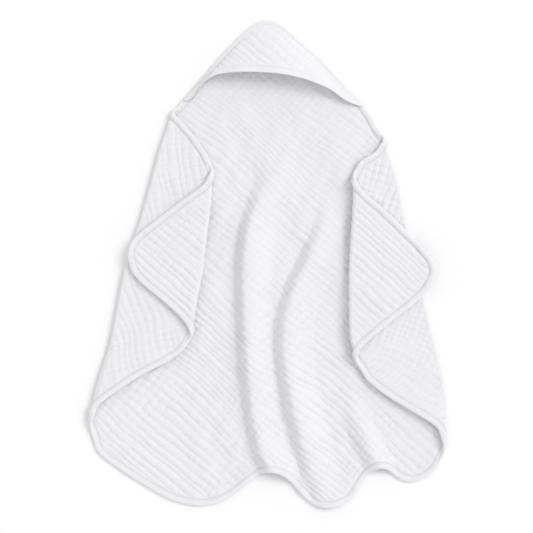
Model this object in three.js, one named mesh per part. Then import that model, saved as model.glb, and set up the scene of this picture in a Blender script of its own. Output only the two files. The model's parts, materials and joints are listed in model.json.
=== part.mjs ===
// A hooded baby towel lying open on a flat surface, front side up, with its peak
// towards +Y. One square of quilted gauze lies on its diagonal. A second triangle of
// the same cloth is sewn over the top corner as the hood, and one bias strip binds the
// whole edge. The left and right corners are each folded in over the front along an
// outer fold line, and then back out along an inner fold line, like a Z.
// Millimetres, +Z up, origin at the middle of the rectangle it covers, on the surface.
import * as THREE from "three";

// ---- Driving dimensions -----------------------------------------------------------
const lyingWidth = 768; // between the two outer folds at their lower ends
const lyingLength = 1044; // from the hood's peak to the lowest point of the hem
const clothThickness = 4; // quilted gauze, lying loose
const bindingWidth = 12; // bias strip, seen from above
const bindingHeight = 7; // bias strip where it wraps the cloth's edge
const bindingChamfer = 2; // takes off the strip's four long edges
const flapAir = 6; // between the main panel and the flap folded over it
const cornerAir = 8; // between a flap and the corner folded back over it
const hoodAir = 0.5; // between the main panel and the hood where they are sewn
const hoodRise = 44; // lift of the hood's front edge at its middle
const hoodHemWidth = 16; // turned and sewn front edge of the hood
const ridgeRise = 26; // height of the two long soft folds in the main panel
const ridgeHalfWidth = 34; // from a fold's crest to where it meets the flat cloth
const hemWaveRise = 14; // height of the third, shorter wave at the hem
const threadWidth = 0.9; // sewing thread
const threadInset = 2.5; // from the bias strip's inner edge to its line of stitches
const clearance = 0.4; // between pieces that touch

// ---- Fineness: how many straight steps stand for each curved edge -----------------
const panelSteps = 34;
const flapSteps = 10;
const cornerSteps = 20;

// ---- Places -----------------------------------------------------------------------
// A place is a share of half the lying width, then a share of half the lying length.
const place = ([x, y]) => new THREE.Vector2((x * lyingWidth) / 2, (y * lyingLength) / 2);
const places = (list) => list.map(place);

// Fold lines, from the upper end to the lower end. They are also the hinge lines.
const folds = {
  leftOuter: places([[-0.535, 0.622], [-0.99, -0.642]]),
  leftInner: places([[-0.313, 0.402], [-0.426, -0.287]]),
  rightOuter: places([[0.616, 0.546], [1, -0.699]]),
  rightInner: places([[0.47, 0.395], [0.475, -0.389]]),
};

// Bound edges, each with the cloth on its left.
const edges = {
  hem: places([
    [-0.99, -0.66], [-0.975, -0.705], [-0.82, -0.83], [-0.66, -0.92], [-0.44, -0.985],
    [-0.27, -0.967], [-0.1, -0.877], [0.035, -0.849], [0.115, -0.877], [0.21, -0.956],
    [0.342, -0.997], [0.452, -0.967], [0.55, -0.866], [0.642, -0.837], [0.72, -0.87],
    [0.795, -0.894], [0.91, -0.849], [0.985, -0.77], [0.996, -0.715],
  ]),
  peak: places([
    [0.61, 0.56], [0.575, 0.605], [0.45, 0.717], [0.285, 0.852], [0.15, 0.945],
    [0.06, 0.99], [-0.01, 1], [-0.075, 0.985], [-0.22, 0.895], [-0.386, 0.759],
    [-0.51, 0.645],
  ]),
  leftUpper: places([[-0.335, 0.418], [-0.365, 0.475], [-0.45, 0.555], [-0.51, 0.61]]),
  leftLower: places([
    [-0.972, -0.6], [-0.9, -0.545], [-0.726, -0.46], [-0.49, -0.352], [-0.445, -0.295],
  ]),
  leftCorner: places([
    [-0.333, 0.375], [-0.4, 0.305], [-0.55, 0.222], [-0.705, 0.14], [-0.785, 0.065],
    [-0.765, -0.02], [-0.665, -0.09], [-0.52, -0.195], [-0.44, -0.275],
  ]),
  rightUpper: places([[0.605, 0.505], [0.58, 0.46], [0.53, 0.425], [0.49, 0.405]]),
  rightLower: places([[0.492, -0.4], [0.55, -0.467], [0.66, -0.53], [0.775, -0.598], [0.965, -0.69]]),
  rightCorner: places([
    [0.495, -0.375], [0.565, -0.32], [0.7, -0.222], [0.845, -0.126], [0.915, -0.04],
    [0.9, 0.02], [0.755, 0.14], [0.6, 0.255], [0.492, 0.36],
  ]),
};
const hoodFront = places([
  [-0.47, 0.655], [-0.42, 0.69], [-0.34, 0.752], [-0.235, 0.783], [-0.01, 0.78],
  [0.172, 0.758], [0.324, 0.716], [0.436, 0.665], [0.5, 0.64],
]);

// The long soft folds in the main panel: the line of each crest, from end to end.
const ridges = [
  {
    crest: places([
      [0.085, 0.41], [-0.01, 0.28], [-0.098, 0.1], [-0.1, -0.1], [-0.09, -0.35], [-0.055, -0.62],
      [0.03, -0.849],
    ]),
    rise: ridgeRise,
  },
  {
    crest: places([
      [0.35, 0.24], [0.28, 0.075], [0.156, -0.1], [0.106, -0.29], [0.14, -0.49], [0.2, -0.69],
      [0.3, -0.9],
    ]),
    rise: ridgeRise,
  },
  { crest: places([[0.5, -0.55], [0.58, -0.7], [0.642, -0.837]]), rise: hemWaveRise },
];

// ---- Heights of the layers --------------------------------------------------------
const panelMiddle = clothThickness / 2;
const flapMiddle = panelMiddle + clothThickness + flapAir;
const cornerMiddle = flapMiddle + clothThickness + cornerAir;

// ---- Curves and closed solids -----------------------------------------------------
const shares = (steps) => Array.from({ length: steps + 1 }, (_, i) => i / steps);
const boundInset = bindingWidth + clearance;
const spread = (points, steps) => new THREE.SplineCurve(points).getSpacedPoints(steps);

// The same line moved to its left, into the cloth.
function inset(points, distance) {
  return points.map((p, i) => {
    const before = points[Math.max(i - 1, 0)];
    const after = points[Math.min(i + 1, points.length - 1)];
    const along = after.clone().sub(before).normalize();
    return new THREE.Vector2(p.x - along.y * distance, p.y + along.x * distance);
  });
}

// A fold line as it is met by cloth on the side that a point is on.
function meeting([a, b], point) {
  const across = new THREE.Vector2(a.y - b.y, b.x - a.x).normalize();
  if (across.dot(point.clone().sub(a)) < 0) across.negate();
  return { start: a.clone().addScaledVector(across, clearance), across };
}
const isBeside = (p, { start, across }) => p.clone().sub(start).dot(across) >= 0;

// Points along a bound edge, without the ends where its bias strip would cross a fold.
function boundEdge(points, creases, steps) {
  const curve = new THREE.SplineCurve(points);
  const clear = shares(200).filter((t) => {
    const outer = curve.getPointAt(t);
    const along = curve.getTangentAt(t);
    const inner = new THREE.Vector2(-along.y, along.x).multiplyScalar(boundInset).add(outer);
    return creases.every((crease) => isBeside(outer, crease) && isBeside(inner, crease));
  });
  const [from, to] = [clear[0], clear.at(-1)];
  return shares(steps).map((t) => curve.getPointAt(from + t * (to - from)));
}

// A surface patch with four curved sides, as a function of two shares.
function patch({ low, high, left, right }) {
  const at = (side, t) => {
    const i = Math.min(Math.floor(t * (side.length - 1)), side.length - 2);
    return side[i].clone().lerp(side[i + 1], t * (side.length - 1) - i);
  };
  const [a, b, c, d] = [low[0], low.at(-1), high[0], high.at(-1)];
  return (u, v) => {
    const p = at(low, u).multiplyScalar(1 - v).addScaledVector(at(high, u), v);
    p.addScaledVector(at(left, v), 1 - u).addScaledVector(at(right, v), u);
    p.addScaledVector(a, -(1 - u) * (1 - v)).addScaledVector(b, -u * (1 - v));
    return p.addScaledVector(c, -(1 - u) * v).addScaledVector(d, -u * v);
  };
}

// The same between two curved sides, with straight lines from end to end of them.
function fourSided(low, high) {
  return patch({ low, high, left: [low[0], high[0]], right: [low.at(-1), high.at(-1)] });
}

function geometry(vertices, triangles) {
  const g = new THREE.BufferGeometry();
  g.setAttribute("position", new THREE.Float32BufferAttribute(vertices.flat(), 3));
  g.setIndex(triangles.flat());
  g.computeVertexNormals();
  return g;
}

// A sheet over a grid of a patch, from its underside up to its top.
function sheet(surface, us, vs, underside, top) {
  const columns = us.length;
  const size = columns * vs.length;
  const flat = vs.flatMap((v) => us.map((u) => ({ u, v, p: surface(u, v) })));
  const vertices = [
    ...flat.map(({ u, v, p }) => [p.x, p.y, underside(p, u, v)]),
    ...flat.map(({ u, v, p }) => [p.x, p.y, top(p, u, v)]),
  ];
  const triangles = [];
  for (let j = 0; j + 1 < vs.length; j++)
    for (let i = 0; i + 1 < columns; i++) {
      const a = j * columns + i;
      const [b, c, d] = [a + 1, a + columns + 1, a + columns];
      triangles.push([a, c, b], [a, d, c]);
      triangles.push([a + size, b + size, c + size], [a + size, c + size, d + size]);
    }
  const rim = [
    ...us.map((_, i) => i),
    ...vs.slice(1).map((_, j) => (j + 2) * columns - 1),
    ...us.slice(1).map((_, i) => size - 2 - i),
    ...vs.slice(1, -1).map((_, j) => size - columns * (j + 2)),
  ];
  rim.forEach((a, i) => {
    const b = rim[(i + 1) % rim.length];
    triangles.push([a, b, b + size], [a, b + size, a + size]);
  });
  return geometry(vertices, triangles);
}

// A closed strip with a constant section, which is [distance into the cloth, height].
function strip(points, section, lift) {
  const lines = section.map(([inwards]) => inset(points, inwards));
  const n = section.length;
  const vertices = points.flatMap((p, i) =>
    section.map(([, height], k) => [lines[k][i].x, lines[k][i].y, height + lift(p)]),
  );
  const triangles = [];
  for (let i = 0; i + 1 < points.length; i++)
    for (let k = 0; k < n; k++) {
      const a = i * n + k;
      const b = i * n + ((k + 1) % n);
      triangles.push([a, b, b + n], [a, b + n, a + n]);
    }
  const last = (points.length - 1) * n;
  for (let k = 1; k + 1 < n; k++) {
    triangles.push([0, k + 1, k]);
    triangles.push([last, last + k, last + k + 1]);
  }
  return geometry(vertices, triangles);
}

// ---- Shape of the main panel ------------------------------------------------------
function distanceTo(line, p) {
  let best = Infinity;
  for (let i = 0; i + 1 < line.length; i++) {
    const span = line[i + 1].clone().sub(line[i]);
    const t = THREE.MathUtils.clamp(p.clone().sub(line[i]).dot(span) / span.lengthSq(), 0, 1);
    best = Math.min(best, line[i].clone().addScaledVector(span, t).distanceTo(p));
  }
  return best;
}
const ridgeLines = ridges.map(({ crest, rise }) => ({ line: spread(crest, 24), rise }));
function swell(p) {
  return Math.max(
    ...ridgeLines.map(({ line, rise }) => {
      const t = Math.min(distanceTo(line, p) / ridgeHalfWidth, 1);
      return rise * (1 + Math.cos(Math.PI * t)) * 0.5;
    }),
  );
}

// ---- Materials --------------------------------------------------------------------
const muslin = new THREE.MeshStandardMaterial({ color: 0xf1f0f3, roughness: 0.95, metalness: 0 });
const muslinBack = new THREE.MeshStandardMaterial({ color: 0xeeeef2, roughness: 0.95, metalness: 0 });
const biasTape = new THREE.MeshStandardMaterial({ color: 0xf4f3f6, roughness: 0.9, metalness: 0 });
const thread = new THREE.MeshStandardMaterial({ color: 0xf7f7f9, roughness: 0.6, metalness: 0 });

const pieces = new THREE.Group();
function add(name, shape, material) {
  const mesh = new THREE.Mesh(shape, material);
  mesh.name = name;
  pieces.add(mesh);
}

// ---- Cloth ------------------------------------------------------------------------
const flatSheet = (middle) => [
  () => middle - clothThickness / 2,
  () => middle + clothThickness / 2,
];

const centre = place([0, 0]);
const outside = { left: place([-1, 0]), right: place([1, 0]) };
const towelCreases = [meeting(folds.leftOuter, centre), meeting(folds.rightOuter, centre)];
const hemEdge = boundEdge(edges.hem, towelCreases, panelSteps);
const peakEdge = boundEdge(edges.peak, towelCreases, panelSteps);

function mainPanel() {
  const surface = fourSided(inset(hemEdge, boundInset), inset(peakEdge, boundInset).reverse());
  const top = (p) => clothThickness + swell(p);
  add("main_panel", sheet(surface, shares(panelSteps), shares(26), () => 0, top), muslin);
}

function flap(side) {
  const outer = meeting(folds[side + "Outer"], centre);
  const inner = meeting(folds[side + "Inner"], outside[side]);
  const upper = boundEdge(edges[side + "Upper"], [outer, inner], flapSteps);
  const lower = boundEdge(edges[side + "Lower"], [outer, inner], flapSteps);
  const surface = fourSided(inset(lower, boundInset), inset(upper, boundInset).reverse());
  const cloth = sheet(surface, shares(flapSteps), shares(6), ...flatSheet(flapMiddle));
  add(side + "_flap_panel", cloth, muslinBack);
  binding(side + "_flap_upper", upper, flapMiddle);
  binding(side + "_flap_lower", lower, flapMiddle);
}

function corner(side) {
  const crease = meeting(folds[side + "Inner"], outside[side]);
  const edge = boundEdge(edges[side + "Corner"], [crease], cornerSteps);
  const rim = inset(edge, boundInset);
  const [tipStart, tipEnd] = [0.4, 0.6].map((t) => Math.round(t * cornerSteps));
  const start = rim.slice(0, tipStart + 1);
  const tip = rim.slice(tipStart, tipEnd + 1);
  const end = rim.slice(tipEnd);
  const crossing = [start[0], end.at(-1)];
  const surface =
    side === "left"
      ? patch({ low: end, high: start.reverse(), left: tip.reverse(), right: crossing.reverse() })
      : patch({ low: start, high: end.reverse(), left: crossing, right: tip });
  const cloth = sheet(surface, shares(tipStart), shares(tipEnd - tipStart), ...flatSheet(cornerMiddle));
  add(side + "_corner_panel", cloth, muslin);
  binding(side + "_corner", edge, cornerMiddle);
}

// ---- Bias binding and its stitches ------------------------------------------------
function binding(name, points, middle, lift = () => 0) {
  const [low, high, cut] = [middle - bindingHeight / 2, middle + bindingHeight / 2, bindingChamfer];
  const section = [
    [0, low + cut], [cut, low], [bindingWidth - cut, low], [bindingWidth, low + cut],
    [bindingWidth, high - cut], [bindingWidth - cut, high], [cut, high], [0, high - cut],
  ];
  add(name + "_binding", strip(points, section, lift), biasTape);
  stitches(name, points, bindingWidth - threadInset, high, lift);
}

function stitches(name, points, inwards, surface, lift) {
  const [near, far] = [inwards - threadWidth / 2, inwards + threadWidth / 2];
  const [low, high] = [surface + clearance, surface + clearance + threadWidth];
  const section = [[near, low], [far, low], [far, high], [near, high]];
  add(name + "_stitching", strip(points, section, lift), thread);
}

// ---- Hood -------------------------------------------------------------------------
function hood() {
  const steps = 16;
  const peak = inset(peakEdge, boundInset);
  const front = spread(hoodFront, steps);
  const indexNear = (p) =>
    peak.reduce((best, q, i) => (q.distanceTo(p) < peak[best].distanceTo(p) ? i : best), 0);
  const [rightEnd, leftEnd] = [indexNear(front[steps]), indexNear(front[0])];
  const middle = Math.round((rightEnd + leftEnd) / 2);
  const crown = 2; // steps of the seam on each side of the peak that make the short side
  const right = peak.slice(rightEnd, middle - crown + 1);
  const left = peak.slice(middle + crown, leftEnd + 1).reverse();
  front[0] = left[0];
  front[steps] = right[0];
  const top = peak.slice(middle - crown, middle + crown + 1).reverse();
  const surface = patch({ low: front, high: top, left, right });
  const lift = (u, v) => hoodRise * Math.sin(Math.PI * u) ** 0.8 * (1 - v) ** 1.3;
  const hemShare = (u) => Math.min(hoodHemWidth / surface(u, 0).distanceTo(surface(u, 1)), 0.5);
  const inwards = (distance) => (u) => (hemShare(u) * distance) / hoodHemWidth;
  const layer = (name, [from, to], rows, bottom, thickness, material) => {
    const v = (u, t) => from(u) + t * (to(u) - from(u));
    const underside = (p, u, t) => bottom + lift(u, v(u, t));
    const topside = (p, u, t) => underside(p, u, t) + thickness;
    const shape = sheet((u, t) => surface(u, v(u, t)), shares(steps), shares(rows), underside, topside);
    add(name, shape, material);
  };
  const sewn = clothThickness + hoodAir;
  const hem = [inwards(0), inwards(hoodHemWidth)];
  const body = [inwards(hoodHemWidth + 2 * clearance), () => 1];
  const stitched = [threadInset + threadWidth, threadInset].map((d) => inwards(hoodHemWidth - d));
  layer("hood_hem", hem, 2, sewn, clothThickness, biasTape);
  layer("hood_hem_stitching", stitched, 1, sewn + clothThickness + clearance, threadWidth, thread);
  layer("hood_panel", body, 6, sewn, clothThickness, muslin);
}

mainPanel();
binding("hem", hemEdge, bindingHeight / 2, swell);
binding("peak", peakEdge, bindingHeight / 2);
hood();
for (const side of ["left", "right"]) {
  flap(side);
  corner(side);
}

// The origin goes to the middle of the rectangle that the towel covers.
const covered = new THREE.Box3().setFromObject(pieces).getCenter(new THREE.Vector3());
pieces.position.set(-covered.x, -covered.y, 0);
const towel = new THREE.Group();
towel.add(pieces);

export default towel;
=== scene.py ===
"""A white muslin hooded baby towel, lying open on a pale floor with its two side corners folded in."""
import json
import math

import bpy
import numpy as np
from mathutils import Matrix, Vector
from mathutils.kdtree import KDTree


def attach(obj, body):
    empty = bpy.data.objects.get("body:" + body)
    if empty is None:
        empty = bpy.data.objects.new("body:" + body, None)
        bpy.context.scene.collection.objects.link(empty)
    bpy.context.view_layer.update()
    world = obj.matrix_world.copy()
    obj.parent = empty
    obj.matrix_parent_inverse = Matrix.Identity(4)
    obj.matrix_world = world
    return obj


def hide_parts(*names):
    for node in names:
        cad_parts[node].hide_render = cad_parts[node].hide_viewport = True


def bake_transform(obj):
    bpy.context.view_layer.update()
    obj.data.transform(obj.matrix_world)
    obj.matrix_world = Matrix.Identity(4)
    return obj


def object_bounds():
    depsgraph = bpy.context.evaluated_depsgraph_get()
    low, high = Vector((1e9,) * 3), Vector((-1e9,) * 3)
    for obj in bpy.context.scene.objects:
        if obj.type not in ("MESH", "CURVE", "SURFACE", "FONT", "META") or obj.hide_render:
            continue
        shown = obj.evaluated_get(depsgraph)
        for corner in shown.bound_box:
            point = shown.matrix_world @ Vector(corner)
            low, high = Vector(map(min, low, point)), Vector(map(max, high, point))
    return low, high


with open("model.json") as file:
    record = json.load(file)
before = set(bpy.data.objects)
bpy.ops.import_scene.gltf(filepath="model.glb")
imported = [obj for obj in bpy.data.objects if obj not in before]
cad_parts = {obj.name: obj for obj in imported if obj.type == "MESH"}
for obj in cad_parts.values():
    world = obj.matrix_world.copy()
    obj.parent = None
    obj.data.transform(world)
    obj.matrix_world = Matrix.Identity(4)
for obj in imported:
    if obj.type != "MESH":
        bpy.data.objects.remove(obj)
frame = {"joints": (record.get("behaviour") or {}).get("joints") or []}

CAD_LO, CAD_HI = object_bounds()
MM = 0.001

# ---- Sizes, in metres --------------------------------------------------------------
CLOTH_HALF = 1.5 * MM  # half the muslin's thickness, without its ribs
REST = 4.0 * MM  # height of the cloth's middle where it lies on the floor
LOWEST = 0.2 * MM  # no cloth or binding goes below this
RIB_WIDTHS = (9 * MM, 19 * MM)  # from the narrowest to the widest
RIB_RISE = 2.1 * MM
RIB_ANGLE = math.radians(49)  # from +X to the way across the ribs
OUTER_ROLL = 4.9 * MM  # radius of the bend at an outer fold
WIDER_ROLL = 2 * MM  # how much wider that bend is at its low end
WIDER_SHARE = 0.09  # the share of the fold over which it narrows
INNER_ROLL = 5.6 * MM
FLAP_HEIGHT = 17 * MM  # of the flap's middle surface, away from its folds
CORNER_SINK = 5.5 * MM  # how far the corner's tip lies below its fold
WAVES = 0.9 * MM  # unevenness of the flaps and corners
BINDING_WIDTH = 13.0 * MM
BINDING_OVER = 2.0 * MM  # how far the binding reaches past the cloth's edge
BINDING_HALF = 3.7 * MM
HOOD_LAYER = 4.6 * MM  # the hood's middle above the main panel's, where they are sewn
HOOD_RISE = 40.0 * MM
HOOD_HEM = 16.0 * MM
STITCH = 2.6 * MM
STITCH_GAP = 1.1 * MM
THREAD = 0.45 * MM
PAINTED_SHADE_TONE = 0.70  # how far the painted shade darkens the cloth's colour deep in its crinkle and grooves
# How far a bound edge runs along each fold while it turns round it, at the fold's two ends.
EDGE_LEAD = {
    "left_outer": (48 * MM, 18 * MM),
    "left_inner": (30 * MM, 26 * MM),
    "right_outer": (50 * MM, 18 * MM),
    "right_inner": (30 * MM, 28 * MM),
}
STRIP = 0.10  # share of the hem and of the peak's edge in the strip beside each outer fold
CORNER_CUTS = (0.42, 0.60)  # shares of a corner's rim where its tip starts and ends

# ---- Fineness ----------------------------------------------------------------------
ROWS = 560
MAIN_COLUMNS = 340
STRIP_COLUMNS = 26
FLAP_COLUMNS = 80
CORNER_COLUMNS = 90
RIM_STEPS = 1000
EDGE_STEPS = 4000
NORMAL_REACH = 8  # cells on each side that a squeezed cell's normal is taken from
ROLL_COLUMNS = 12

# ---- Outlines, as shares of half the towel's width and half its length -------------
OUTER = {
    "left": [
        (-0.985, -0.712), (-0.987, -0.650), (-0.980, -0.590), (-0.940, -0.461), (-0.883, -0.338),
        (-0.845, -0.198), (-0.807, -0.051), (-0.766, 0.060), (-0.704, 0.196), (-0.657, 0.319),
        (-0.601, 0.471), (-0.549, 0.580), (-0.532, 0.612), (-0.518, 0.643),
    ],
    "right": [
        (0.948, -0.815), (0.960, -0.760), (0.970, -0.700), (0.980, -0.597), (0.964, -0.486),
        (0.926, -0.363), (0.884, -0.239), (0.844, -0.116), (0.805, -0.001), (0.766, 0.122),
        (0.732, 0.237), (0.701, 0.348), (0.656, 0.450), (0.636, 0.495), (0.622, 0.535),
    ],
}
INNER = {
    "left": [
        (-0.458, -0.318), (-0.441, -0.240), (-0.421, -0.145), (-0.387, -0.010), (-0.365, 0.130),
        (-0.343, 0.266), (-0.337, 0.348), (-0.333, 0.412),
    ],
    "right": [
        (0.506, -0.420), (0.490, -0.370), (0.478, -0.338), (0.463, -0.280), (0.460, -0.186),
        (0.460, -0.010), (0.471, 0.130), (0.482, 0.266), (0.481, 0.335), (0.486, 0.392),
    ],
}
HEM = [
    (-0.985, -0.712), (-0.974, -0.745), (-0.946, -0.778), (-0.878, -0.816), (-0.766, -0.872),
    (-0.632, -0.931), (-0.519, -0.970), (-0.390, -0.985), (-0.278, -0.970), (-0.183, -0.929),
    (-0.110, -0.886), (-0.037, -0.851), (0.036, -0.845), (0.098, -0.866), (0.171, -0.931),
    (0.244, -0.978), (0.339, -0.993), (0.435, -0.970), (0.496, -0.917), (0.547, -0.859),
    (0.603, -0.831), (0.659, -0.835), (0.732, -0.878), (0.805, -0.889), (0.868, -0.873),
    (0.918, -0.845), (0.948, -0.815),
]
PEAK = [
    (-0.518, 0.643), (-0.500, 0.660), (-0.470, 0.685), (-0.390, 0.754), (-0.306, 0.822),
    (-0.222, 0.888), (-0.138, 0.949), (-0.070, 0.988), (-0.014, 0.998), (0.048, 0.986),
    (0.115, 0.949), (0.193, 0.898), (0.283, 0.840), (0.373, 0.771), (0.452, 0.709),
    (0.519, 0.656), (0.566, 0.606), (0.596, 0.566), (0.622, 0.535),
]
FLAP_LOW = {
    "left": [
        (-0.983, -0.620), (-0.973, -0.593), (-0.946, -0.563), (-0.856, -0.515), (-0.727, -0.453),
        (-0.575, -0.395), (-0.500, -0.358), (-0.474, -0.337), (-0.458, -0.318),
    ],
    "right": [
        (0.967, -0.720), (0.945, -0.672), (0.900, -0.642), (0.788, -0.592), (0.659, -0.535),
        (0.555, -0.475), (0.526, -0.447), (0.506, -0.420),
    ],
}
FLAP_HIGH = {
    "left": [
        (-0.530, 0.612), (-0.514, 0.597), (-0.482, 0.573), (-0.430, 0.528), (-0.368, 0.466),
        (-0.345, 0.435), (-0.333, 0.412),
    ],
    "right": [
        (0.631, 0.495), (0.592, 0.459), (0.530, 0.430), (0.500, 0.412), (0.486, 0.392),
    ],
}
CORNER = {
    "left": [
        (-0.446, -0.260), (-0.466, -0.235), (-0.505, -0.203), (-0.578, -0.153), (-0.671, -0.098),
        (-0.727, -0.061), (-0.769, -0.018), (-0.786, 0.044), (-0.766, 0.089), (-0.716, 0.130),
        (-0.615, 0.188), (-0.502, 0.251), (-0.385, 0.312), (-0.350, 0.338), (-0.337, 0.362),
    ],
    "right": [
        (0.486, -0.362), (0.503, -0.340), (0.542, -0.312), (0.637, -0.252), (0.749, -0.188),
        (0.856, -0.120), (0.912, -0.055), (0.915, 0.001), (0.861, 0.062), (0.771, 0.126),
        (0.659, 0.206), (0.564, 0.266), (0.506, 0.306), (0.481, 0.338),
    ],
}
HOOD_FRONT = [
    (-0.480, 0.666), (-0.435, 0.680), (-0.345, 0.752), (-0.239, 0.777), (-0.014, 0.777),
    (0.171, 0.756), (0.322, 0.717), (0.435, 0.666), (0.519, 0.645),
]
# The long soft folds: the crest's line from its top end to the hem, its rise, and how wide
# it is on each side of the crest.
RIDGES = [
    {
        "crest": [
            (0.081, 0.471), (0.025, 0.381), (-0.020, 0.298), (-0.087, 0.163), (-0.115, 0.019),
            (-0.115, -0.145), (-0.104, -0.330), (-0.082, -0.514), (-0.048, -0.679),
            (-0.009, -0.781), (0.036, -0.847),
        ],
        "rise": 25 * MM, "left": 33 * MM, "right": 52 * MM, "fade": 0.28, "end": 0.9, "lean": 0.25,
    },
    {
        "crest": [
            (0.367, 0.286), (0.334, 0.175), (0.272, 0.060), (0.182, -0.075), (0.120, -0.207),
            (0.104, -0.330), (0.126, -0.453), (0.160, -0.588), (0.210, -0.740), (0.261, -0.863),
            (0.339, -0.991),
        ],
        "rise": 25 * MM, "left": 34 * MM, "right": 56 * MM, "fade": 0.25, "end": 0.30, "lean": 0.25,
    },
    {
        "crest": [(0.42, -0.52), (0.50, -0.65), (0.56, -0.75), (0.625, -0.833)],
        "rise": 17 * MM, "left": 34 * MM, "right": 34 * MM, "fade": 0.7, "end": 1.0, "lean": 0.0,
    },
]

HALF = np.array([(CAD_HI.x - CAD_LO.x) / 2, (CAD_HI.y - CAD_LO.y) / 2])
JOINTS = {j["name"]: j for j in frame["joints"]}


# ---- Curves and patches ------------------------------------------------------------
def line(shares, steps):
    """Evenly spaced points along a smooth curve through places given as shares."""
    p = np.array(shares) * HALF
    ends = np.vstack([2 * p[0] - p[1], p, 2 * p[-1] - p[-2]])
    t = np.linspace(0, 1, 24, endpoint=False)[:, None]
    fine = []
    for a, b, c, d in zip(ends, ends[1:], ends[2:], ends[3:]):
        fine.append(0.5 * (2 * b + (c - a) * t + (2 * a - 5 * b + 4 * c - d) * t**2
                           + (3 * b - a - 3 * c + d) * t**3))
    return resampled(np.vstack(fine + [p[-1:]]), np.linspace(0, 1, steps + 1))


def resampled(points, at):
    """Points of a polyline at shares of its length."""
    run = np.concatenate([[0], np.cumsum(np.linalg.norm(np.diff(points, axis=0), axis=1))])
    return np.stack([np.interp(at * run[-1], run, points[:, k]) for k in range(points.shape[1])], 1)


def coons(low, high, left, right):
    """A grid of plan points with four given sides: rows go up, columns go from left to right."""
    v = np.linspace(0, 1, len(left))[:, None, None]
    u = np.linspace(0, 1, len(low))[None, :, None]
    ruled_v = (1 - v) * low[None] + v * high[None]
    ruled_u = (1 - u) * left[:, None] + u * right[:, None]
    corners = ((1 - u) * (1 - v) * low[0] + u * (1 - v) * low[-1]
               + (1 - u) * v * high[0] + u * v * high[-1])
    return ruled_v + ruled_u - corners


def smooth(t):
    t = np.clip(t, 0, 1)
    return t * t * (3 - 2 * t)


def drift(x, y, size, seed, terms=5):
    """Smooth random waves about as large as size, between about -1 and 1."""
    rng = np.random.default_rng(seed)
    total = 0
    for _ in range(terms):
        angle, phase, stretch = rng.uniform(0, 2 * math.pi, 2).tolist() + [rng.uniform(0.7, 1.5)]
        k = 2 * math.pi * stretch / size
        total = total + np.sin(k * (x * math.cos(angle) + y * math.sin(angle)) + phase)
    return total / math.sqrt(terms)


# ---- The main panel's height -------------------------------------------------------
def beside_crest(points, crest):
    """Each plan point's distance to a crest line, positive right of it, and its place along it."""
    best = np.full(points.shape[:-1], np.inf)
    signed, along = np.zeros_like(best), np.zeros_like(best)
    run = np.linspace(0, 1, len(crest))
    for i, (a, b) in enumerate(zip(crest, crest[1:])):
        d = b - a
        t = np.clip(((points - a) @ d) / (d @ d), 0, 1)
        off = points - (a + t[..., None] * d)
        distance = np.linalg.norm(off, axis=-1)
        nearer = distance < best
        side = np.where(off[..., 1] * d[0] - off[..., 0] * d[1] > 0, 1, -1)
        best = np.where(nearer, distance, best)
        signed = np.where(nearer, side * distance, signed)
        along = np.where(nearer, run[i] + t * (run[1]), along)
    return signed, along


def lay_base(plan):
    """Lifts plan points of the main panel off the floor, into its soft folds."""
    rise = np.zeros(plan.shape[:-1])
    shift = np.zeros_like(rise)
    for ridge in RIDGES:
        crest = line(ridge["crest"], 60)
        signed, along = beside_crest(plan, crest)
        width = np.where(signed > 0, ridge["right"], ridge["left"])
        tall = ridge["rise"] * smooth(along / ridge["fade"])
        tall = tall * (1 - (1 - ridge["end"]) * smooth((along - 0.7) / 0.3))
        bump = tall * (0.5 + 0.5 * np.cos(math.pi * np.clip(np.abs(signed) / width, 0, 1))) ** 0.85
        shift = np.where(bump > rise, -ridge["lean"] * bump, shift)
        rise = np.maximum(rise, bump) + 0.15 * np.minimum(rise, bump)
    x, y = plan[..., 0], plan[..., 1]
    swell = 1.6 * MM * (1 + drift(x, y, 0.16, 3)) + 0.9 * MM * (1 + drift(x, y, 0.06, 4))
    under_flap = smooth((-x - 0.14) / 0.05) + smooth((x - 0.17) / 0.05)
    under_hood = smooth((y - 0.33) / 0.05)
    swell = swell * (1 - 0.85 * np.clip(under_flap + under_hood, 0, 1))
    z = REST + rise + np.maximum(swell, 0) * 0.8
    return np.stack([x + shift, y, z], -1)


# ---- The whole towel as one grid ---------------------------------------------------
class Fold:
    """A straight fold axis in plan, from a joint, and the way its bend bulges."""

    def __init__(self, joint, bulge_towards):
        j = JOINTS[joint]
        self.at = np.array(j["pos_m"][:2])
        along = np.array(j["axis"][:2])
        out = np.array([-along[1], along[0]])
        self.out = out if out[0] * bulge_towards > 0 else -out

    def past(self, plan):
        return (plan - self.at) @ self.out

    def mirrored(self, plan):
        return plan - 2 * self.past(plan)[..., None] * self.out


def roll(below, above, low, high, out):
    """The half-round bend along a fold, from the lower layer's edge to the upper one's.

    Gives its grid, its arc lengths and its plan laid out flat.
    """
    angle = np.linspace(-math.pi / 2, math.pi / 2, ROLL_COLUMNS + 1)
    middle, radius = (low + high) / 2, (high - low) / 2
    share = np.linspace(0, 1, ROLL_COLUMNS + 1)[None, :, None]
    plan = below[:, None] * (1 - share) + above[:, None] * share
    plan = plan + (radius[:, None] * np.cos(angle))[..., None] * out
    z = middle[:, None] + radius[:, None] * np.sin(angle)
    arc = radius[:, None] * (angle + math.pi / 2)
    laid_out = below[:, None] * (1 - share) + above[:, None] * share + arc[..., None] * out
    return np.concatenate([plan, z[..., None]], -1), arc, laid_out


def shortened(curve, leads):
    """The same curve, less a length at each of its ends."""
    length = np.linalg.norm(np.diff(curve, axis=0), axis=1).sum()
    return resampled(curve, np.linspace(leads[0] / length, 1 - leads[1] / length, len(curve)))


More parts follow.
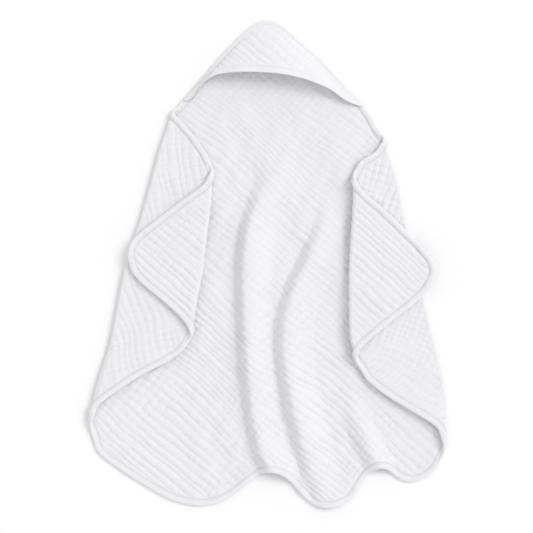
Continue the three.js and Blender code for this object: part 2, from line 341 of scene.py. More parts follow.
def side_cloth(side):
    """The strip, folds, flap and corner of one side, as blocks of columns going outwards."""
    sign = -1 if side == "left" else 1
    outer_fold = Fold(side + "_flap_unfold", sign)
    inner_fold = Fold(side + "_corner_unfold", -sign)
    outer, inner = line(OUTER[side], ROWS), line(INNER[side], ROWS)
    v = np.linspace(0, 1, ROWS + 1)

    hem, peak = HEM_LINE[side], PEAK_LINE[side]
    strip_plan = coons(hem, peak, np.linspace(hem[0], peak[0], ROWS + 1), outer)
    strip = lay_base(strip_plan)
    across = smooth(np.linspace(0, 1, STRIP_COLUMNS + 1))[None]
    strip[..., 2] = strip[..., 2] * (1 - across) + REST * across

    opening = OUTER_ROLL + WIDER_ROLL * np.exp(-((v / WIDER_SHARE) ** 2))
    ground = strip[:, -1, 2]
    flap_foot = ground + 2 * opening
    flap_outer = shortened(outer, EDGE_LEAD[side + "_outer"])
    outer_bend, _, outer_flat = roll(strip[:, -1, :2], flap_outer, ground, flap_foot, outer_fold.out)
    bulge = outer_fold.past(flap_outer)

    flap_low = line([flap_outer[0] / HALF] + FLAP_LOW[side][1:], FLAP_COLUMNS)
    flap_high = line([flap_outer[-1] / HALF] + FLAP_HIGH[side][1:], FLAP_COLUMNS)
    flap_plan = coons(flap_low, flap_high, flap_outer, inner)
    t = np.linspace(0, 1, FLAP_COLUMNS + 1)[None]
    waves = WAVES * drift(flap_plan[..., 0], flap_plan[..., 1], 0.11, 21 + sign)
    flap_crown = FLAP_HEIGHT + 1.0 * MM * np.sin(math.pi * v)
    flap_z = flap_foot[:, None] * (1 - smooth(t)) + flap_crown[:, None] * smooth(t)
    flap_z = flap_z + waves * smooth(3 * t) * smooth(5 * (1 - t))
    flap = np.concatenate([flap_plan, flap_z[..., None]], -1)

    flap_edge = flap[:, -1, 2]
    corner_foot = flap_edge + 2 * INNER_ROLL
    corner_inner = shortened(inner, EDGE_LEAD[side + "_inner"])
    inner_bend, inner_arc, inner_laid_out = roll(
        inner, corner_inner, flap_edge, corner_foot, inner_fold.out
    )
    inner_bulge = inner_fold.past(corner_inner)

    ends = [corner_inner[0] / HALF, corner_inner[-1] / HALF]
    rim = line([ends[0]] + CORNER[side][1:-1] + [ends[1]], RIM_STEPS)
    tip_start, tip_end = [int(share * RIM_STEPS) for share in CORNER_CUTS]
    low = resampled(rim[: tip_start + 1], np.linspace(0, 1, CORNER_COLUMNS + 1))
    tip = resampled(rim[tip_start: tip_end + 1], v)
    high = resampled(rim[tip_end:][::-1], np.linspace(0, 1, CORNER_COLUMNS + 1))
    corner_plan = coons(low, high, corner_inner, tip)
    t = np.linspace(0, 1, CORNER_COLUMNS + 1)[None]
    waves = WAVES * drift(corner_plan[..., 0], corner_plan[..., 1], 0.11, 21 + sign)
    corner_z = corner_foot[:, None] - CORNER_SINK * smooth(t) + waves * smooth(3 * t)
    corner = np.concatenate([corner_plan, corner_z[..., None]], -1)

    def flap_flat(plan):
        arc = 2 * bulge + math.pi * opening
        return outer_fold.mirrored(plan) + arc[:, None, None] * outer_fold.out

    def corner_flat(plan):
        arc = 2 * inner_bulge + math.pi * INNER_ROLL
        return flap_flat(inner_fold.mirrored(plan) + arc[:, None, None] * inner_fold.out)

    # The ribs' layout is the flat cloth's, but each corner's ribs run like the main panel's.
    inner_flat = flap_flat(inner_laid_out)
    inner_rest = (inner_arc[:, -1:] - inner_arc)[..., None] * inner_fold.out
    return [
        ("strip", strip, strip_plan, strip_plan),
        ("outer_fold", outer_bend, outer_flat, outer_flat),
        ("flap", flap, flap_flat(flap_plan), flap_flat(flap_plan)),
        ("inner_fold", inner_bend, inner_flat, corner_inner[:, None] + inner_rest),
        ("corner", corner, corner_flat(corner_plan), corner_plan),
    ]


def split(curve, start, end, steps):
    return resampled(curve, np.linspace(start, end, steps + 1))


hem_whole, peak_whole = line(HEM, EDGE_STEPS), line(PEAK, EDGE_STEPS)
HEM_LINE = {
    "left": split(hem_whole, STRIP, 0, STRIP_COLUMNS),
    "right": split(hem_whole, 1 - STRIP, 1, STRIP_COLUMNS),
}
PEAK_LINE = {
    "left": split(peak_whole, STRIP, 0, STRIP_COLUMNS),
    "right": split(peak_whole, 1 - STRIP, 1, STRIP_COLUMNS),
}


def whole_towel():
    """The towel's middle surface, its two layouts, and each block's columns, from left to right."""
    left, right = side_cloth("left"), side_cloth("right")
    main_plan = coons(
        split(hem_whole, STRIP, 1 - STRIP, MAIN_COLUMNS),
        split(peak_whole, STRIP, 1 - STRIP, MAIN_COLUMNS),
        left[0][2][:, 0], right[0][2][:, 0],
    )
    blocks = [("left_" + n, *[g[:, ::-1] for g in grids]) for n, *grids in left[::-1]]
    blocks += [("main", lay_base(main_plan), main_plan, main_plan)]
    blocks += [("right_" + n, *grids) for n, *grids in right]
    spans, column = {}, 0
    for name, grid, *_ in blocks:
        spans[name] = (column, column + grid.shape[1] - 1)
        column += grid.shape[1] - 1
    joined = [
        np.concatenate([b[k][:, 0 if b is blocks[0] else 1:] for b in blocks], 1) for k in (1, 2, 3)
    ]
    return *joined, spans


def unit(v):
    return v / np.maximum(np.linalg.norm(v, axis=-1, keepdims=True), 1e-15)


def grid_normals(grid):
    across = np.gradient(grid, axis=1)
    up = np.gradient(grid, axis=0)
    n = np.cross(across, up)
    size = np.linalg.norm(n, axis=-1, keepdims=True)
    sides = np.linalg.norm(across, axis=-1, keepdims=True)
    sides = sides * np.linalg.norm(up, axis=-1, keepdims=True)
    # Where a cell is squeezed flat, its normal is its neighbourhood's.
    around = n
    for axis in (0, 1):
        margins = [(NORMAL_REACH, NORMAL_REACH) if k == axis else (0, 0) for k in range(3)]
        padded = np.pad(around, margins, mode="edge")
        total = np.cumsum(padded, axis=axis)
        length = grid.shape[axis]
        ahead = np.take(total, np.arange(length) + 2 * NORMAL_REACH, axis)
        around = ahead - np.take(total, np.arange(length), axis)
    good = smooth(size / np.maximum(sides, 1e-15) / 0.35)
    return unit(unit(n) * good + unit(around) * (1 - good))


def rim_values(grid):
    """A grid's values once round its rim: along its bottom, up its right, back and down."""
    return np.concatenate([grid[0, :-1], grid[:-1, -1], grid[-1, :0:-1], grid[:0:-1, 0]])


def edge_distance(grid):
    """About how far each point of the grid is from the nearest of its four sides."""
    rows = np.cumsum(np.linalg.norm(np.diff(grid, axis=0, prepend=grid[:1]), axis=-1), axis=0)
    columns = np.cumsum(np.linalg.norm(np.diff(grid, axis=1, prepend=grid[:, :1]), axis=-1), axis=1)
    return np.minimum.reduce([rows, rows[-1:] - rows, columns, columns[:, -1:] - columns])


def true_edge_distance(grid, groups, reach):
    """The same, measured straight to the rim of the same layer of cloth where it is under reach."""
    rough = edge_distance(grid)
    rim = rim_values(grid)
    columns = rim_values(np.broadcast_to(np.arange(grid.shape[1]), grid.shape[:2]))
    for first, last in groups:
        own = rim[(columns >= first - 8) & (columns <= last + 8)]
        tree = KDTree(len(own))
        for i, place in enumerate(own):
            tree.insert(place, i)
        tree.balance()
        for r, c in np.argwhere(rough[:, first: last + 1] < 2.2 * reach):
            rough[r, first + c] = tree.find(grid[r, first + c])[2]
    return rough


# ---- Crinkled muslin ---------------------------------------------------------------
def crinkle(across, along, seed):
    """Puffed ribs, each of its own width and height, and pinched at its own uneven places."""
    rng = np.random.default_rng(seed)
    count = int(np.ptp(across) / RIB_WIDTHS[0]) + 2
    widths = rng.uniform(*RIB_WIDTHS, count)
    edges = across.min() - 1 * MM + np.concatenate([[0], np.cumsum(widths)])
    rib = np.clip(np.searchsorted(edges, across) - 1, 0, count - 1)
    tall = rng.uniform(0.8, 1.15, count) * (widths / (14 * MM)) ** 0.6
    start, cell = rng.uniform(0, 1, count), rng.uniform(18, 50, count) * MM
    place = along / cell[rib] + start[rib]
    to_pinch = np.abs(place - np.round(place)) * cell[rib]
    pinched = 1 - 0.40 * np.exp(-((to_pinch / (3.2 * MM)) ** 2))
    share = (across - edges[rib]) / widths[rib]
    return np.abs(np.sin(math.pi * share)) ** 0.75 * tall[rib] * pinched


def ribs(layout, seed, back_lead=0.35):
    """The crinkle of the cloth's two faces, in metres; back_lead is the ribs' part in the back's."""
    x, y = layout[..., 0], layout[..., 1]
    a = x * math.cos(RIB_ANGLE) + y * math.sin(RIB_ANGLE)
    b = x * math.sin(RIB_ANGLE) - y * math.cos(RIB_ANGLE)
    a = a + 6 * MM * drift(x, y, 0.36, seed) + 1.1 * MM * drift(x, y, 0.07, seed + 1)
    b = b + 6 * MM * drift(x, y, 0.34, seed + 2) + 1.1 * MM * drift(x, y, 0.06, seed + 3)
    waffle = smooth(0.42 + 0.7 * drift(x, y, 0.36, seed + 4))
    rib, cross = crinkle(a, b, seed + 6) - 0.6, crinkle(b, a, seed + 7) - 0.6
    uneven = 1 + 0.25 * drift(x, y, 0.09, seed + 5)
    front = RIB_RISE * uneven * ((1 - 0.3 * waffle) * rib + (0.10 + 0.55 * waffle) * cross)
    back = RIB_RISE * uneven * ((back_lead + 0.2 * waffle) * rib + (1.2 - back_lead) * cross)
    return front, 0.8 * back


# ---- Meshes ------------------------------------------------------------------------
def mesh_object(name, vertices, quads, normals=None, flat=None, material=None, shade=None):
    mesh = bpy.data.meshes.new(name)
    mesh.vertices.add(len(vertices))
    mesh.vertices.foreach_set("co", np.asarray(vertices, np.float32).ravel())
    mesh.loops.add(quads.size)
    mesh.loops.foreach_set("vertex_index", quads.astype(np.int32).ravel())
    mesh.polygons.add(len(quads))
    mesh.polygons.foreach_set("loop_start", np.arange(0, quads.size, 4, dtype=np.int32))
    mesh.polygons.foreach_set("use_smooth", np.ones(len(quads), bool))
    mesh.update(calc_edges=True)
    if flat is not None:
        layer = mesh.uv_layers.new(name="flat_cloth")
        layer.data.foreach_set("uv", np.asarray(flat, np.float32)[quads.ravel()].ravel())
    if shade is not None:
        # This attribute holds painted shade, which darkens the colour in creases and grooves.
        layer = mesh.attributes.new("crevice", "FLOAT", "POINT")
        layer.data.foreach_set("value", np.asarray(shade, np.float32).ravel())
    if normals is not None:
        mesh.normals_split_custom_set_from_vertices(np.asarray(normals, np.float32))
    piece = bpy.data.objects.new(name, mesh)
    bpy.context.scene.collection.objects.link(piece)
    if material:
        mesh.materials.append(material)
    return piece


def grid_quads(rows, columns, start=0, closed=False):
    """Faces over a grid of vertices; closed joins the last column to the first."""
    r = np.arange(rows - 1)[:, None] * columns
    c = np.arange(columns if closed else columns - 1)[None]
    after = (c + 1) % columns
    quads = np.stack([r + c, r + after, r + columns + after, r + columns + c], -1)
    return quads.reshape(-1, 4) + start


def rim_loop(rows, columns):
    index = np.arange(rows * columns).reshape(rows, columns)
    return np.concatenate([index[0, :-1], index[:-1, -1], index[-1, :0:-1], index[:0:-1, 0]])


def cloth_piece(name, top, bottom, top_normals, bottom_normals, flat, shades, material):
    """One closed sheet from its two faces, given as grids."""
    rows, columns = top.shape[:2]
    size = rows * columns
    upper = grid_quads(rows, columns)
    lower = grid_quads(rows, columns, size)[:, ::-1]
    rim = rim_loop(rows, columns)
    after = np.roll(rim, -1)
    wall = np.stack([rim + size, after + size, after, rim], -1)
    flats = np.tile(flat.reshape(-1, 2), (2, 1))
    return mesh_object(
        name,
        np.vstack([top.reshape(-1, 3), bottom.reshape(-1, 3)]),
        np.vstack([upper, lower, wall]),
        np.vstack([top_normals.reshape(-1, 3), bottom_normals.reshape(-1, 3)]),
        flats, material, np.concatenate([shades[0].ravel(), shades[1].ravel()]),
    )


# ---- Materials ---------------------------------------------------------------------
def cotton(name, colour, weave_pitch, weave_depth, fuzz):
    """Woven cotton: two crossed sets of threads, and a little unevenness."""
    m = bpy.data.materials.new(name)
    m.use_nodes = True
    nodes, links = m.node_tree.nodes, m.node_tree.links
    bsdf = nodes["Principled BSDF"]
    bsdf.inputs["Roughness"].default_value = 0.92
    bsdf.inputs["Sheen Weight"].default_value = 0.25
    bsdf.inputs["Sheen Roughness"].default_value = 0.6
    bsdf.inputs["Specular IOR Level"].default_value = 0.2
    place = nodes.new("ShaderNodeUVMap")
    place.uv_map = "flat_cloth"
    threads = []
    for direction in ("X", "Y"):
        wave = nodes.new("ShaderNodeTexWave")
        wave.wave_type = "BANDS"
        wave.bands_direction = direction
        wave.inputs["Scale"].default_value = 2 * math.pi / 20 / weave_pitch
        wave.inputs["Distortion"].default_value = 1.5
        wave.inputs["Detail Scale"].default_value = 2.0
        links.new(place.outputs["UV"], wave.inputs["Vector"])
        threads.append(wave)
    woven = nodes.new("ShaderNodeMath")
    woven.operation = "MAXIMUM"
    for k, wave in enumerate(threads):
        links.new(wave.outputs["Fac"], woven.inputs[k])
    uneven = nodes.new("ShaderNodeTexNoise")
    uneven.inputs["Scale"].default_value = 180
    uneven.inputs["Detail"].default_value = 4
    links.new(place.outputs["UV"], uneven.inputs["Vector"])
    fine = nodes.new("ShaderNodeBump")
    fine.inputs["Strength"].default_value = 0.6
    fine.inputs["Distance"].default_value = weave_depth
    links.new(woven.outputs["Value"], fine.inputs["Height"])
    broad = nodes.new("ShaderNodeBump")
    broad.inputs["Strength"].default_value = 0.5
    broad.inputs["Distance"].default_value = fuzz
    links.new(uneven.outputs["Fac"], broad.inputs["Height"])
    links.new(fine.outputs["Normal"], broad.inputs["Normal"])
    links.new(broad.outputs["Normal"], bsdf.inputs["Normal"])
    # Painted shade: a per-point attribute darkens the colour in creases and grooves.
    crevice = nodes.new("ShaderNodeAttribute")
    crevice.attribute_name = "crevice"
    tones = []
    for factor, dark in ((woven.outputs["Value"], 0.95), (crevice.outputs["Fac"], PAINTED_SHADE_TONE)):
        tone = nodes.new("ShaderNodeMix")
        tone.data_type = "RGBA"
        tone.blend_type = "MULTIPLY"
        tones.append(tone)
        shade = nodes.new("ShaderNodeMapRange")
        ends = (dark, 1.0) if factor.node is woven else (1.0, dark)
        shade.inputs["To Min"].default_value, shade.inputs["To Max"].default_value = ends
        links.new(factor, shade.inputs["Value"])
        tone.inputs["Factor"].default_value = 1
        links.new(shade.outputs["Result"], tone.inputs["B"])
    tones[0].inputs["A"].default_value = (*colour, 1)
    links.new(tones[0].outputs["Result"], tones[1].inputs["A"])
    links.new(tones[1].outputs["Result"], bsdf.inputs["Base Color"])
    return m


def floor_material():
    m = bpy.data.materials.new("pale_floor")
    m.use_nodes = True
    bsdf = m.node_tree.nodes["Principled BSDF"]
    bsdf.inputs["Base Color"].default_value = (0.945, 0.945, 0.945, 1)
    bsdf.inputs["Roughness"].default_value = 0.9
    bsdf.inputs["Specular IOR Level"].default_value = 0.1
    return m


MUSLIN = cotton("muslin", (0.84, 0.835, 0.86), 1.6 * MM, 0.10 * MM, 0.5 * MM)
TAPE = cotton("bias_tape", (0.84, 0.835, 0.86), 0.8 * MM, 0.05 * MM, 0.25 * MM)
THREADS = cotton("thread", (0.88, 0.88, 0.89), 0.5 * MM, 0.05 * MM, 0.05 * MM)


# ---- Camera, light and floor -------------------------------------------------------
def studio():
    camera = bpy.data.cameras.new("camera")
    camera.sensor_width = 36
    distance = 3.2
    framed = 1.1406  # width of the view at the floor
    camera.lens = camera.sensor_width * distance / framed
    eye = bpy.data.objects.new("camera", camera)
    eye.location = (-0.0065, -0.0039, distance)
    bpy.context.scene.collection.objects.link(eye)
    bpy.context.scene.camera = eye

    key = bpy.data.lights.new("key", "SUN")
    key.energy = 1.15
    key.angle = math.radians(30)
    lamp = bpy.data.objects.new("key", key)
    lamp.rotation_euler = (-Vector((1.0, 0.55, 1.15))).to_track_quat("-Z", "Y").to_euler()
    bpy.context.scene.collection.objects.link(lamp)
    world = bpy.data.worlds.new("studio")
    bpy.context.scene.world = world
    world.use_nodes = True
    world.node_tree.nodes["Background"].inputs["Color"].default_value = (1, 1, 1, 1)
    world.node_tree.nodes["Background"].inputs["Strength"].default_value = 0.80
    bpy.context.scene.view_settings.view_transform = "Standard"
    reach = 3.0
    corners = [(-reach, -reach, 0), (reach, -reach, 0), (reach, reach, 0), (-reach, reach, 0)]
    face = np.array([[0, 1, 2, 3]])
    floor = mesh_object("floor", np.array(corners), face, material=floor_material())


studio()

# ---- Cloth -------------------------------------------------------------------------
middle, flat, rib_layout, spans = whole_towel()
normals = grid_normals(middle)
column = np.arange(middle.shape[1])
front, back = ribs(rib_layout, 40, np.where(column > spans["main"][1], 0.8, 0.35)[None])
layers = [
    spans[f"{side}_{part}"]
    for side in ("left", "right")
    for part in ("corner", "inner_fold", "flap", "outer_fold")
]
layers += [(spans["left_strip"][0], spans["right_strip"][1])]
from_rim = true_edge_distance(middle, layers, 24 * MM)
TAPE_EDGE = BINDING_WIDTH - BINDING_OVER  # where the binding's inner edge lies on the cloth
pressed = 0.15 + 0.85 * smooth((from_rim - TAPE_EDGE) / (9 * MM))
on_main = (column >= spans["left_strip"][0]) & (column <= spans["right_strip"][1])
calm = 0.36 * smooth((middle[..., 1] + 0.22) / 0.25) * on_main[None]  # the crinkle is softer up here
pressed = pressed * (1 - calm)
for fold in ("left_outer_fold", "left_inner_fold", "right_outer_fold", "right_inner_fold"):
    beyond = np.maximum(spans[fold][0] - column, column - spans[fold][1])
    pressed = pressed * (0.55 + 0.45 * smooth(beyond / 6))[None]
seam_dip = np.exp(-(((from_rim - TAPE_EDGE - 1.0 * MM) / (2.4 * MM)) ** 2))
top = middle + normals * (CLOTH_HALF + front * pressed - 0.7 * MM * seam_dip)[..., None]
bottom = middle - normals * (CLOTH_HALF + back * pressed - 0.7 * MM * seam_dip)[..., None]
bottom[..., 2] = np.maximum(bottom[..., 2], LOWEST)
top_normals, bottom_normals = grid_normals(top), -grid_normals(bottom)


def valley_shade(face):
    """Painted shade in the crinkle's valleys: how deep in the crinkle each point lies, from 0 to 1,
    times 0.22.
    """
    return 0.22 * smooth((-face / RIB_RISE - 0.05) / 0.6)


# Painted shade in the crevice along the binding's inner edge, where it is stitched to the cloth.
seam_shade = 0.6 * np.exp(-(((from_rim - TAPE_EDGE - 0.6 * MM) / (1.5 * MM)) ** 2))
shades = [np.maximum(valley_shade(face * pressed), seam_shade) for face in (front, back)]


def towel_piece(name, first, last):
    cut = (slice(None), slice(first, last + 1))
    faces = [g[cut] for g in (top, bottom, top_normals, bottom_normals, flat)]
    return cloth_piece(name, *faces, [shade[cut] for shade in shades], MUSLIN)


# ---- Bindings and stitches: sections of the towel's whole rim ----------------------
ROW_COUNT, COLUMN_COUNT = middle.shape[:2]
LAST_ROW, LAST_COLUMN = ROW_COUNT - 1, COLUMN_COUNT - 1
SECTION_SIDES = 28


def eased(values, reach):
    """A closed line's values, each averaged with its neighbours."""
    total = sum(np.roll(values, k, axis=0) for k in range(-reach, reach + 1))
    return total / (2 * reach + 1)


def low_run(first, last):
    return np.arange(spans[first][0], spans[last][1] + 1)


def high_run(first, last):
    """Rim places along the top edge, from right to left."""
    start = LAST_COLUMN + LAST_ROW + LAST_COLUMN
    return start - np.arange(spans[first][1], spans[last][0] - 1, -1)


rim_points = eased(rim_values(middle), 2)
RIM = len(rim_points)
rim_up = unit(eased(rim_values(normals), 3))
rim_along = unit(np.roll(rim_points, -1, 0) - np.roll(rim_points, 1, 0))
rim_in = unit(np.cross(rim_up, rim_along))
rim_up = unit(np.cross(rim_along, rim_in))
step_lengths = np.linalg.norm(np.roll(rim_points, -1, 0) - rim_points, axis=1)
rim_run = np.concatenate([[0], np.cumsum(step_lengths)])[:-1]
hooded = np.zeros(RIM)
peak_run = high_run("right_strip", "left_strip")
peak_share = np.linspace(0, 1, len(peak_run))
hooded[peak_run] = smooth((peak_share - 0.13) / 0.06) * smooth((0.88 - peak_share) / 0.06)

puff = 1 + 0.07 * np.sin(2 * math.pi * rim_run / (9 * MM) + 2 * drift(rim_run, 0, 0.05, 61))
puff = puff + 0.05 * drift(rim_run, 0, 0.03, 62)
half_width = BINDING_WIDTH / 2 * (1 + 0.04 * drift(rim_run, 0, 0.04, 63))
half_height = BINDING_HALF * puff + 0.45 * HOOD_LAYER * hooded
centre = rim_points + rim_in * (half_width - BINDING_OVER)[:, None]
centre = centre + rim_up * (0.45 * HOOD_LAYER * hooded)[:, None]
centre[..., 2] = np.maximum(centre[..., 2], half_height + LOWEST)

# The section's half height at each share of its width, with a groove along the stitches.
GROOVE = 0.62


def section_height(share):
    full = (1 - np.abs(share) ** 4) ** 0.6
    return full * (1 - 0.05 * (share + 1)) - 0.30 * np.exp(-(((share - GROOVE) / 0.12) ** 2))


turn = 2 * math.pi * np.arange(SECTION_SIDES) / SECTION_SIDES
shares_in = np.sign(np.cos(turn)) * np.abs(np.cos(turn)) ** 0.85
shares_up = np.sign(np.sin(turn)) * section_height(shares_in)
tube = (centre[:, None] + rim_in[:, None] * (half_width[:, None] * shares_in)[..., None]
        + rim_up[:, None] * (half_height[:, None] * shares_up)[..., None])
tube[..., 2] = np.maximum(tube[..., 2], LOWEST)
tube_normals = unit(np.cross(
    np.roll(tube, -1, 1) - np.roll(tube, 1, 1), np.roll(tube, -1, 0) - np.roll(tube, 1, 0)
))
# Painted shade along the groove where the binding is stitched.
groove_shade = 0.5 * np.exp(-(((shares_in - GROOVE) / 0.10) ** 2))
tube_shade = np.broadcast_to(groove_shade[None], tube.shape[:2])
tube_flat = np.stack(np.broadcast_arrays(rim_run[:, None], 7 * MM * turn[None] / math.pi), -1)


def binding_piece(name, run):
    run = run % RIM
    count, k = len(run), np.arange(SECTION_SIDES // 2 - 1)
    cap = np.stack([k, k + 1, SECTION_SIDES - 2 - k, SECTION_SIDES - 1 - k], -1)
    faces = np.vstack([
        grid_quads(count, SECTION_SIDES, closed=True), cap[:, ::-1], cap + (count - 1) * SECTION_SIDES,
    ])
    return mesh_object(
        name, tube[run].reshape(-1, 3), faces, tube_normals[run].reshape(-1, 3),
        tube_flat[run].reshape(-1, 2), TAPE, tube_shade[run],
    )


def dashes(name, points, along, inwards, up):
    """One mesh of short stitches, centred at these points."""
    lengths = np.array([-0.5, -0.3, 0.3, 0.5]) * STITCH
    radii = np.array([0.35, 1, 1, 0.35]) * THREAD
    sinks = np.array([-0.8, 0, 0, -0.8]) * THREAD
    turn = 2 * math.pi * np.arange(6) / 6
    across = inwards[:, None] * np.cos(turn)[:, None] + up[:, None] * np.sin(turn)[:, None]
    vertices = (points[:, None, None] + along[:, None, None] * lengths[:, None, None]
                + up[:, None, None] * sinks[:, None, None] + across[:, None] * radii[:, None, None])
    ends = [[3, 2, 1, 0], [5, 4, 3, 0], [18, 19, 20, 21], [18, 21, 22, 23]]
    one = np.vstack([grid_quads(4, 6, closed=True), ends])
    faces = (one[None] + 24 * np.arange(len(points))[:, None, None]).reshape(-1, 4)
    return mesh_object(name, vertices.reshape(-1, 3), faces, material=THREADS)


def rim_stitches(name, run):
    """Stitches in the binding's groove, on both of its faces."""
    run = run % RIM
    base = rim_run[run[0]]
    at = (rim_run[run] - base) % (rim_run[-1] + step_lengths[-1])
    pitch = STITCH + STITCH_GAP
    places = np.arange(pitch * 0.5, at[-1] - pitch * 0.25, pitch)
    if len(places) == 0:
        places = np.array([at[-1] / 2])

    def on(values):
        return np.stack([np.interp(places, at, values[run][:, k]) for k in range(3)], 1)

    along, inwards, up = unit(on(rim_along)), unit(on(rim_in)), unit(on(rim_up))
    tall = np.interp(places, at, half_height[run]) * section_height(GROOVE) + 0.2 * THREAD
    wide = np.interp(places, at, half_width[run]) * GROOVE
    middles = on(centre) + inwards * wide[:, None]
    return dashes(
        name,
        np.vstack([middles + up * tall[:, None], middles - up * tall[:, None]]),
        np.vstack([along, along]), np.vstack([inwards, inwards]), np.vstack([up, -up]),
    )


# ---- Hood --------------------------------------------------------------------------
HOOD_COLUMNS, HOOD_ROWS, HOOD_CROWN = 240, 84, 0.06


def hood_grids():
    """The hood's middle surface and flat layout."""
    inside_rim = rim_points[peak_run][:, :2] + 3 * MM * rim_in[peak_run][:, :2]
    seam = resampled(inside_rim, np.linspace(0, 1, 2000))[::-1]
    front_line = line(HOOD_FRONT, HOOD_COLUMNS)
    start = np.argmin(np.linalg.norm(seam - front_line[0], axis=1))
    end = np.argmin(np.linalg.norm(seam - front_line[-1], axis=1))
    from_start = np.linspace(1, 0, HOOD_COLUMNS + 1)[:, None] ** 4
    from_end = np.linspace(0, 1, HOOD_COLUMNS + 1)[:, None] ** 4
    front_line = front_line + (seam[start] - front_line[0]) * from_start
    front_line = front_line + (seam[end] - front_line[-1]) * from_end
    peak_at = (start + end) // 2
    crown = int(HOOD_CROWN * (end - start))
    rows = np.linspace(0, 1, HOOD_ROWS + 1)
    left = resampled(seam[start: peak_at - crown + 1], rows)
    right = resampled(seam[peak_at + crown: end + 1][::-1], rows)
    top_seam = seam[peak_at - crown: peak_at + crown + 1]
    top_line = resampled(top_seam, np.linspace(0, 1, HOOD_COLUMNS + 1))
    plan = coons(front_line, top_line, left, right)
    u, v = np.meshgrid(np.linspace(0, 1, HOOD_COLUMNS + 1), rows)
    rise = HOOD_RISE * np.sin(math.pi * u) ** 1.1 * (1 - v) ** 1.25
    crumple = 1.2 * MM * drift(plan[..., 0], plan[..., 1], 0.09, 71) * np.sin(math.pi * u) * (1 - v)
    z = REST + HOOD_LAYER + rise + crumple
    return np.concatenate([plan, z[..., None]], -1), plan


hood_middle, hood_flat = hood_grids()
hood_steps = np.diff(hood_middle, axis=0, prepend=hood_middle[:1])
down = np.cumsum(np.linalg.norm(hood_steps, axis=-1), axis=0)
hem_rows = int(np.median(np.argmax(down > HOOD_HEM, axis=0)))
hood_normals = grid_normals(hood_middle)
hood_front, hood_back = ribs(hood_flat + np.array([0.37, 0.11]), 80)
from_hem = smooth((down - HOOD_HEM) / (8 * MM))
from_seam = 0.25 + 0.4 * smooth(edge_distance(hood_middle) / (16 * MM))
hem_puff = 0.9 * MM * np.clip(np.sin(math.pi * np.clip(down / HOOD_HEM, 0, 1)), 0, 1) ** 0.5
hood_top_at = CLOTH_HALF + hood_front * from_hem * from_seam + hem_puff * (1 - from_hem)
hood_top = hood_middle + hood_normals * hood_top_at[..., None]
hood_bottom = hood_middle - hood_normals * (CLOTH_HALF + hood_back * from_hem * from_seam)[..., None]
hood_top_normals, hood_bottom_normals = grid_normals(hood_top), -grid_normals(hood_bottom)
# Painted shade along the hood's hem stitch line; together with the crinkle's painted valley shade, it
# darkens the hood's colour.
hem_stitch_shade = np.exp(-(((down - HOOD_HEM + 1.5 * MM) / (1.4 * MM)) ** 2))
hood_shades = [
    np.maximum(valley_shade(face * from_hem * from_seam), 0.4 * hem_stitch_shade) for face in (hood_front, hood_back)
]


def hood_piece(name, first, last, material):
    cut = slice(first, last + 1)
    faces = [g[cut] for g in (hood_top, hood_bottom, hood_top_normals, hood_bottom_normals, hood_flat)]
    return cloth_piece(name, *faces, [shade[cut] for shade in hood_shades], material)


def bent(piece):
    """The piece crosses a fold; its transform is only baked into its mesh."""
    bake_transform(piece)


def bends_to_hood(piece):
    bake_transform(piece)


def flat_area(part):
    a, b = part[1:, 1:] - part[:-1, :-1], part[1:, :-1] - part[:-1, 1:]
    return float(np.abs(a[..., 0] * b[..., 1] - a[..., 1] * b[..., 0]).sum() / 2)


def smallest_rectangle(part):
    """The sides of the smallest rectangle of flat cloth that the part could be cut from."""
    best = None
    for angle in np.radians(np.arange(0, 90, 3)):
        c, s = math.cos(angle), math.sin(angle)
        turned = part.reshape(-1, 2) @ np.array([[c, -s], [s, c]])
        sides = (turned.max(0) - turned.min(0)).tolist()
        if best is None or sides[0] * sides[1] < best[0] * best[1]:
            best = sides
    return best


def declared(part):
    """Works out a piece's flat area and smallest rectangle, or a fold strip's width and length, and
    keeps neither.
    """
    area, sides = flat_area(part), smallest_rectangle(part)
    if part.shape[1] <= ROLL_COLUMNS + 1:
        length = float(np.linalg.norm(np.diff(part[:, 0], axis=0), axis=1).sum())
        sides, area = (area / length, length), None


left_corner_run = np.arange(
    high_run("left_corner", "left_corner")[0], RIM + spans["left_corner"][1] + 1
)
right_corner_run = np.arange(
    spans["right_corner"][0], high_run("right_corner", "right_corner")[-1] + 1
)
for edge, run in (
    ("hem", low_run("left_strip", "right_strip")),
    ("peak", peak_run),
    ("left_flap_lower", low_run("left_flap", "left_flap")),
    ("left_flap_upper", high_run("left_flap", "left_flap")),
    ("left_corner", left_corner_run),
    ("right_flap_lower", low_run("right_flap", "right_flap")),
    ("right_flap_upper", high_run("right_flap", "right_flap")),
    ("right_corner", right_corner_run),
):
    body = "towel" if edge in ("hem", "peak") else edge.replace("_lower", "").replace("_upper", "")
    tape = binding_piece("bias_" + edge, run)
    seam = rim_stitches("stitches_" + edge, run)
    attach(tape, body)
    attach(seam, body)
    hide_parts(edge + "_binding")
    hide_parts(edge + "_stitching")

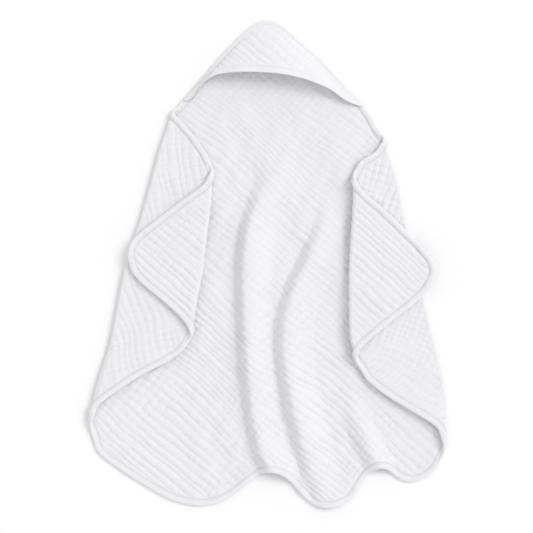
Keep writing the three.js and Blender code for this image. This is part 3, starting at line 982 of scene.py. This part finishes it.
main = towel_piece("muslin_main_panel", spans["left_strip"][0], spans["right_strip"][1])
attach(main, "towel")
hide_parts("main_panel")
declared(flat[:, spans["left_strip"][0]: spans["right_strip"][1] + 1])

for side in ("left", "right"):
    for part, slot in (("flap", "muslin_back"), ("corner", "muslin_front")):
        piece = towel_piece(f"muslin_{side}_{part}", *spans[f"{side}_{part}"])
        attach(piece, f"{side}_{part}")
        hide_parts(f"{side}_{part}_panel")
        first, last = spans[f"{side}_{part}"]
        declared(flat[:, first: last + 1])
    for fold in ("outer_fold", "inner_fold"):
        where = f"{side}_{fold}"
        piece = towel_piece("muslin_" + where, *spans[where])
        bent(piece)
        crossing = []
        for end, run in (("low", low_run(where, where)), ("high", high_run(where, where))):
            tape = binding_piece(f"bias_{where}_{end}", run)
            seam = rim_stitches(f"stitches_{where}_{end}", run)
            bent(tape)
            bent(seam)
            crossing += [tape, seam]
        first, last = spans[where]
        declared(flat[:, first: last + 1])

hood_hem = hood_piece("hood_hem_band", 0, hem_rows, TAPE)
hood_cloth = hood_piece("muslin_hood", hem_rows, HOOD_ROWS, MUSLIN)
row = hood_top[hem_rows - 1]
spot = np.concatenate([[0], np.cumsum(np.linalg.norm(np.diff(row, axis=0), axis=1))])
at = np.arange(6 * MM, spot[-1] - 6 * MM, STITCH + STITCH_GAP)


def along_hem(values):
    return np.stack([np.interp(at, spot, values[:, k]) for k in range(3)], 1)


hem_along = unit(along_hem(np.gradient(row, axis=0)))
hem_up = unit(along_hem(hood_top_normals[hem_rows - 1]))
hem_in = unit(np.cross(hem_up, hem_along))
hem_spots = along_hem(row) + hem_up * 0.2 * THREAD
hood_seam = dashes("stitches_hood_hem", hem_spots, hem_along, hem_in, hem_up)
for piece, node, slot in (
    (hood_hem, "hood_hem", "hood_hem_cloth"),
    (hood_cloth, "hood_panel", "muslin_front"),
    (hood_seam, "hood_hem_stitching", "sewing_thread"),
):
    bends_to_hood(piece)
    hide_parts(node)
declared(hood_flat[hem_rows:])
